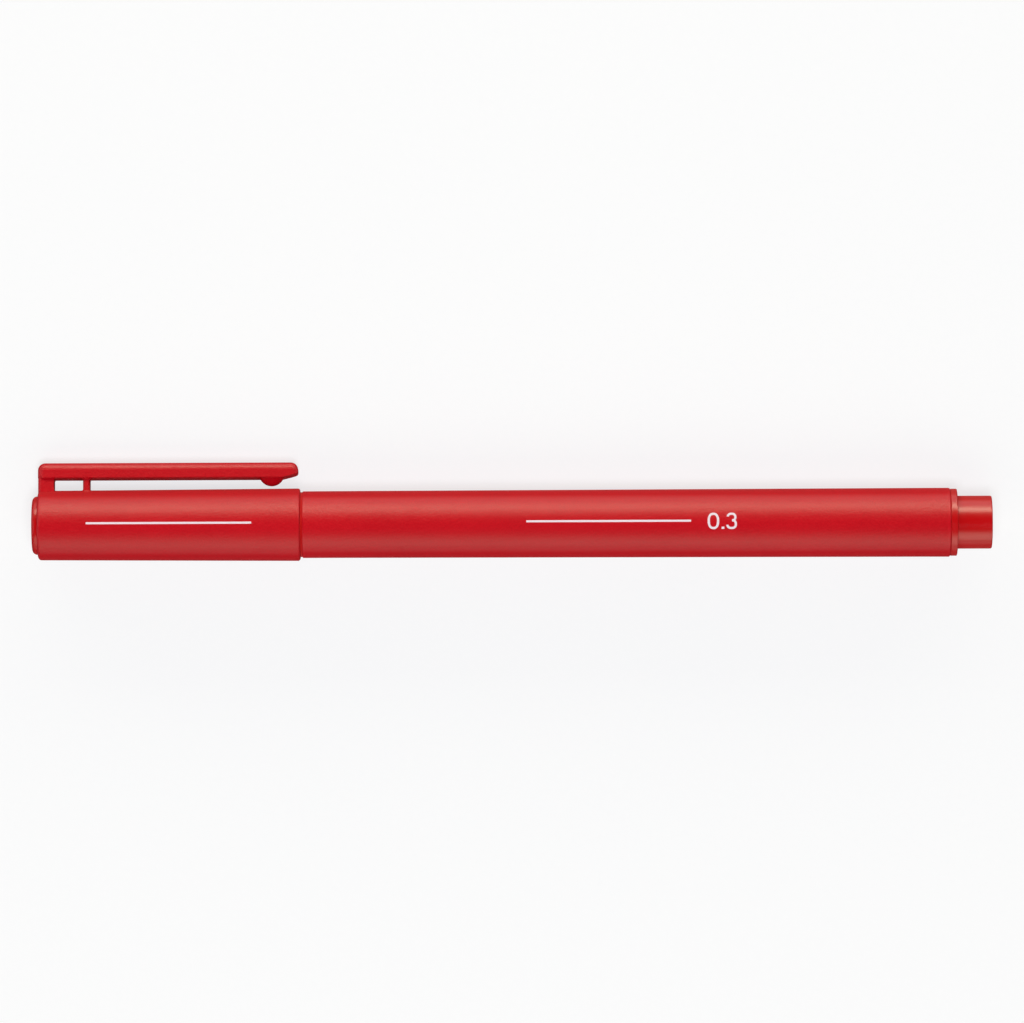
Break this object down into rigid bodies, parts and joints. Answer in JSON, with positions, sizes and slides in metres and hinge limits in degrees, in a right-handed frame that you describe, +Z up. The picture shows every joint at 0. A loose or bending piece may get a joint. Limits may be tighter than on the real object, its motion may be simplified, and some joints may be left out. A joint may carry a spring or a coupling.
{
  "type": "fineliner pen",
  "caption": "Capped fineliner pen with a slim round barrel, a pull-off cap with a moulded pocket clip, a stepped tail for posting the cap, and a fine sleeved nib.",
  "frame": {"origin": "centre of the flat tail face, on the pen's axis", "axes": "+X along the pen's axis, from the cap's crown to the tail; +Z up, with the pen lying as it rests on a table, on the cap's mouth and the clip's lower edge, so that the clip points to +Y and a little down"},
  "size_m": [0.138, 0.0138, 0.0104],
  "materials": {
    "satin_red_plastic": "satin",
    "gloss_red_plastic": "gloss",
    "section_red_plastic": "satin",
    "nib_steel": "satin",
    "nib_plastic": "matte",
    "ink_fibre": "matte",
    "clear_film": "gloss",
    "natural_plastic": "satin"
  },
  "bodies": {
    "pen": {"barrel": "satin_red_plastic", "grip_section": "section_red_plastic", "nib_sleeve": "nib_steel", "nib": "nib_plastic", "ink_reservoir": "ink_fibre", "reservoir_film": "clear_film", "tail_plug": "gloss_red_plastic"},
    "cap_unit": {"cap": "satin_red_plastic", "inner_cap": "natural_plastic", "cap_crown": "gloss_red_plastic"}
  },
  "joints": [
    {"name": "cap_pull", "type": "slide", "parent": "pen", "child": "cap_unit", "axis": [-1, 0, 0], "range_m": [0, 0.045]}
  ]
}
